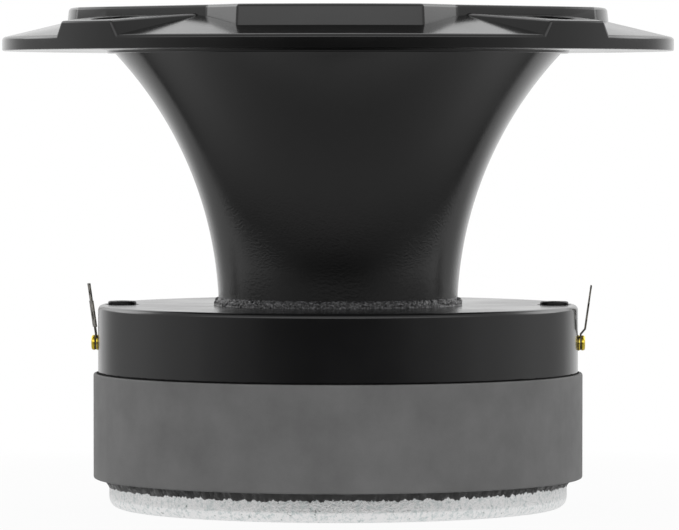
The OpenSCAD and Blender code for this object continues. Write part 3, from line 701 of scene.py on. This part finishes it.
bmesh.ops.rotate(posts, verts=posts.verts, cent=(0, 0, 0), matrix=Matrix.Rotation(math.pi / 2, 3, "Y"))
bmesh.ops.translate(posts, verts=posts.verts, vec=(0, 0, post_height))
bmesh.ops.mirror(posts, geom=posts.verts[:] + posts.edges[:] + posts.faces[:], matrix=Matrix(),
                 merge_dist=0, axis="X")
bmesh.ops.recalc_face_normals(posts, faces=posts.faces)
post_pair = solid("terminal_posts", posts)
finish_piece(post_pair, "driver", "brass", FINISHES["brass"], "terminal_rivets")

# %% [markdown]
# ## The horn
# Neck, flare, flange, raised ring and screw pads are one casting. The round part is spun, the ring is
# a drafted block with its own plan, and each pad is a wedge that fades into the flange's sloping top.
# The solids are joined, and then one spun tool cuts the bore through all of them.

# %% Horn: round part
NECK_R = 24.4
SPIGOT_R = 23.7
Z_FLANGE = 93.1
RIM_T = 2.7
RIM_SLOPE = 0.24
MOUTH_R = 46
THROAT_R = 21
ROOT_R = 46
ROOT_DROP = 0.5
FLARE_R = 77.9
STEP_W = 1.7
PLATEAU_R = MOUTH_R - 2
RIM_TOP_R = 0.6
RIM_FOOT_R = 0.3
STEP_CORNER_R = 0.35
flare_chord = Vector((ROOT_R - NECK_R, Z_FLANGE - Z_NECK))
flare_middle = Vector((NECK_R, Z_NECK)) + flare_chord / 2
flare_across = Vector((flare_chord.y, -flare_chord.x)).normalized()
flare_centre = flare_middle + flare_across * math.sqrt(FLARE_R**2 - flare_chord.length_squared / 4)
flare_from = math.atan2(Z_NECK - flare_centre.y, flare_centre.x - NECK_R)
flare_to = math.asin((Z_FLANGE - ROOT_DROP - flare_centre.y) / FLARE_R)
body = bmesh.new()
chain = draw(body, [(0, Z_SPIGOT), (SPIGOT_R, Z_SPIGOT), (SPIGOT_R, Z_NECK), (NECK_R, Z_NECK),
                    (flare_centre.x, flare_centre.y, math.degrees(flare_to - flare_from), 48)])
root = chain[-1]
plateau_z = Z_FLANGE + RIM_T + RIM_SLOPE * (FLANGE_R - PLATEAU_R)
outline = [(root.co.x + STEP_W, root.co.z), (root.co.x + STEP_W, Z_FLANGE), (FLANGE_R, Z_FLANGE),
           (FLANGE_R, Z_FLANGE + RIM_T), (PLATEAU_R, plateau_z), (0, plateau_z)]
step = [body.verts.new((radius, 0, height)) for radius, height in outline]
for a, b in zip([root] + step, step):
    body.edges.new((a, b))
step_corner, _, rim_foot, rim_top = step[:4]
soften(body, [rim_top], RIM_TOP_R, 4)
soften(body, [rim_foot], RIM_FOOT_R, 2)
soften(body, [step_corner], STEP_CORNER_R, 3)
revolve(body, 240)
horn = solid("horn_casting", body)
print("flare's arc centre", [round(v, 2) for v in flare_centre])

# %% Horn: raised ring
FRONT_R, FRONT_HALF, FRONT_ROOT = 61.3, 18.2, 24.8
SIDE_R, SIDE_HALF, SIDE_ROOT = 55.7, 17.5, 26.0
DIAGONAL_SUM = 72.2
RING_DRAFT = 0.985
RING_EDGE_R = 0.6
plan = bmesh.new()
start = plan.verts.new((SIDE_R, 0, 0))
side_corner = bmesh.ops.spin(plan, geom=[start], cent=(0, 0, 0), axis=(0, 0, 1),
                             angle=math.asin(SIDE_HALF / SIDE_R), steps=10)["geom_last"][0]
side_root = plan.verts.new((DIAGONAL_SUM - SIDE_ROOT, SIDE_ROOT, 0))
front_root = plan.verts.new((FRONT_ROOT, DIAGONAL_SUM - FRONT_ROOT, 0))
front_turn = math.asin(FRONT_HALF / FRONT_R)
front_corner = plan.verts.new((FRONT_HALF, FRONT_R * math.cos(front_turn), 0))
for a, b in ((side_corner, side_root), (side_root, front_root), (front_root, front_corner)):
    plan.edges.new((a, b))
bmesh.ops.spin(plan, geom=[front_corner], cent=(0, 0, 0), axis=(0, 0, 1), angle=front_turn, steps=10)
for axis in ("X", "Y"):
    bmesh.ops.mirror(plan, geom=plan.verts[:] + plan.edges[:], matrix=Matrix(), merge_dist=0.001, axis=axis)
bmesh.ops.remove_doubles(plan, verts=plan.verts, dist=0.001)
bmesh.ops.contextual_create(plan, geom=plan.edges[:])
bmesh.ops.translate(plan, verts=plan.verts, vec=(0, 0, Z_FLANGE + 1))
raised = bmesh.ops.extrude_face_region(plan, geom=plan.faces[:])["geom"]
top_verts = [g for g in raised if isinstance(g, bmesh.types.BMVert)]
bmesh.ops.translate(plan, verts=top_verts, vec=(0, 0, Z_MOUTH - Z_FLANGE - 1))
bmesh.ops.scale(plan, verts=top_verts, vec=(RING_DRAFT, RING_DRAFT, 1))
bmesh.ops.recalc_face_normals(plan, faces=plan.faces)
crisp = [e for e in plan.edges if min(v.co.z for v in e.verts) > Z_FLANGE + 2
         or (abs(e.verts[0].co.z - e.verts[1].co.z) > 1 and e.calc_face_angle(0) > math.radians(10))]
bmesh.ops.bevel(plan, geom=crisp, offset=RING_EDGE_R, affect="EDGES", segments=3, profile=0.5, material=-1)
mouth_ring = solid("mouth_ring", plan)
print("raised ring has", len(mouth_ring.data.polygons), "faces")

# %% Horn: screw pads
PAD_HALF_W = 8.85
PAD_DRAFT = math.tan(math.radians(29.6))
PAD_SPLAY = math.tan(math.radians(20))
PAD_RISE = 2.8
PAD_SLOPE = math.tan(math.radians(4.8))
PAD_EDGE_R = 0.5


def pad_top(rho):
    """Height of a pad's top over the flange's underside, at a distance from the axis."""
    return RIM_T + PAD_RISE + (FLANGE_R - rho) * PAD_SLOPE


def pad_half(rho, z):
    """Half of a pad's width at a distance from the axis and a height over the flange's underside."""
    return PAD_HALF_W + (FLANGE_R - rho) * PAD_SPLAY - (z - RIM_T) * PAD_DRAFT


def quarter_turn(i):
    """The rotation that takes a pad or a hole from the X axis to its diagonal."""
    return Matrix.Rotation(math.radians(45 + 90 * i), 3, "Z")


HAIR = 0.02
flange_disc = bmesh.new()
bmesh.ops.create_cone(flange_disc, cap_ends=True, segments=240, radius1=FLANGE_R - HAIR,
                      radius2=FLANGE_R - HAIR, depth=30)
bmesh.ops.translate(flange_disc, verts=flange_disc.verts, vec=(0, 0, Z_FLANGE))
flange_limit = solid("flange_limit", flange_disc)
pads = []
for i in range(4):
    wedge = bmesh.new()
    for rho in (MOUTH_R + 2.5, FLANGE_R + 2):
        section = [wedge.verts.new((rho, side * pad_half(rho, z), Z_FLANGE + z))
                   for side, z in ((-1, 1), (1, 1), (1, pad_top(rho)), (-1, pad_top(rho)))]
        wedge.faces.new(section)
    bmesh.ops.bridge_loops(wedge, edges=wedge.edges[:])
    bmesh.ops.recalc_face_normals(wedge, faces=wedge.faces)
    bmesh.ops.rotate(wedge, verts=wedge.verts, cent=(0, 0, 0), matrix=quarter_turn(i))
    pad = solid("pad", wedge)
    limit = flange_limit.copy()
    bpy.context.scene.collection.objects.link(limit)
    combine(pad, [limit], "INTERSECT")
    shaped = bmesh.new()
    shaped.from_mesh(pad.data)
    bmesh.ops.dissolve_limit(shaped, angle_limit=math.radians(0.5), verts=shaped.verts, edges=shaped.edges)
    upper = [e for e in shaped.edges if e.calc_face_angle(0) > math.radians(20)
             and max(v.co.z for v in e.verts) > (Z_FLANGE + 3) * MM]
    bmesh.ops.bevel(shaped, geom=upper, offset=PAD_EDGE_R * MM, affect="EDGES", segments=3, profile=0.5,
                    material=-1)
    shaped.to_mesh(pad.data)
    shaped.free()
    pads.append(pad)
bpy.data.objects.remove(flange_limit)
print("pads:", len(pads))

# %% Horn: bore, holes and union
BOLT_CIRCLE_R = 60.5
BOLT_HOLE_R = 2.6
SPOTFACE_R = 4.75
SPOTFACE_DEPTH = 0.4
LIP_R = 0.8
SEAT_R = 22.1
SEAT_TOP = Z_SPIGOT + 4
rise = MOUTH_R - THROAT_R
run = Z_MOUTH - Z_NECK
bore_arc_r = (rise**2 + run**2) / (2 * rise)
bore_turn = math.asin((run + 1) / bore_arc_r)
air = bmesh.new()
air_chain = draw(air, [(0, Z_SPIGOT - 1), (SEAT_R, Z_SPIGOT - 1), (SEAT_R, SEAT_TOP), (THROAT_R, SEAT_TOP),
                       (THROAT_R, Z_NECK), (THROAT_R + bore_arc_r, Z_NECK, math.degrees(bore_turn), 64)])
top = air.verts.new((0, 0, air_chain[-1].co.z))
air.edges.new((air_chain[-1], top))
revolve(air, 240)
cutters = [solid("bore_tool", air)]
for i in range(4):
    spot_floor = Z_FLANGE + pad_top(BOLT_CIRCLE_R) - SPOTFACE_DEPTH
    for radius, low in ((BOLT_HOLE_R, Z_FLANGE - 1), (SPOTFACE_R, spot_floor)):
        drill = bmesh.new()
        bmesh.ops.create_cone(drill, cap_ends=True, segments=48, radius1=radius, radius2=radius, depth=12)
        bmesh.ops.translate(drill, verts=drill.verts, vec=(BOLT_CIRCLE_R, 0, low + 6))
        bmesh.ops.rotate(drill, verts=drill.verts, cent=(0, 0, 0), matrix=quarter_turn(i))
        cutters.append(solid("drill", drill))
combine(horn, [mouth_ring] + pads, "UNION")
combine(horn, cutters, "DIFFERENCE")
lip = bmesh.new()
lip.from_mesh(horn.data)
mouth_loop = [e for e in lip.edges if all(abs(v.co.z - Z_MOUTH * MM) < 1e-5 for v in e.verts)
              and all(abs(v.co.xy.length - MOUTH_R * MM) < 2e-4 for v in e.verts)]
bmesh.ops.bevel(lip, geom=mouth_loop, offset=LIP_R * MM, affect="EDGES", segments=4, profile=0.5, material=-1)
lip.to_mesh(horn.data)
lip.free()
print("mouth edge:", len(mouth_loop), "edges rounded")
finish_piece(horn, "driver", "black_casting", horn_paint, "horn", sharp=32)

# %% [markdown]
# ## The bead at the neck's foot
# Filler closes the joint between the neck and the cap. It was smeared on by hand, so it is a spun
# quarter round whose surface is pushed about by two sizes of noise.

# %% Neck bead
BEAD_R = 1.1
BEAD_RISE = 0.5
BEAD_SINK = 0.6
BEAD_MEAN = 0.8
LUMP_MM = 1.6
LUMP_SHARE = 0.25
FINE_LUMP_MM = 0.5
FINE_LUMP_SHARE = 0.35
bead_foot_r = NECK_R + math.sqrt(BEAD_R**2 - BEAD_RISE**2)
bead_sweep = 90 + math.degrees(math.asin(BEAD_RISE / BEAD_R))
bead = bmesh.new()
corners = draw(bead, [(NECK_R - BEAD_SINK, Z_NECK), (bead_foot_r, Z_NECK),
                      (NECK_R, Z_NECK + BEAD_RISE, -bead_sweep, 9)])
back = bead.verts.new((NECK_R - BEAD_SINK, 0, Z_NECK + BEAD_RISE + BEAD_R))
bead.edges.new((corners[-1], back))
bead.edges.new((back, corners[0]))
revolve(bead, 720)
for vert in bead.verts:
    outward = Vector((vert.co.x, vert.co.y, 0)).normalized()
    centre = outward * NECK_R + Vector((0, 0, Z_NECK + BEAD_RISE))
    if vert.co.xy.length > NECK_R + 0.02 and vert.co.z > Z_NECK + 0.01:
        broad = LUMP_SHARE * noise.noise(vert.co / LUMP_MM)
        fine = FINE_LUMP_SHARE * noise.noise(vert.co / FINE_LUMP_MM)
        vert.co = centre + (vert.co - centre) * min(BEAD_MEAN + broad + fine, 1.0)
bead_piece = solid("neck_filler", bead)
finish_piece(bead_piece, "driver", "grey_filler", filler, "neck_bead", sharp=80)
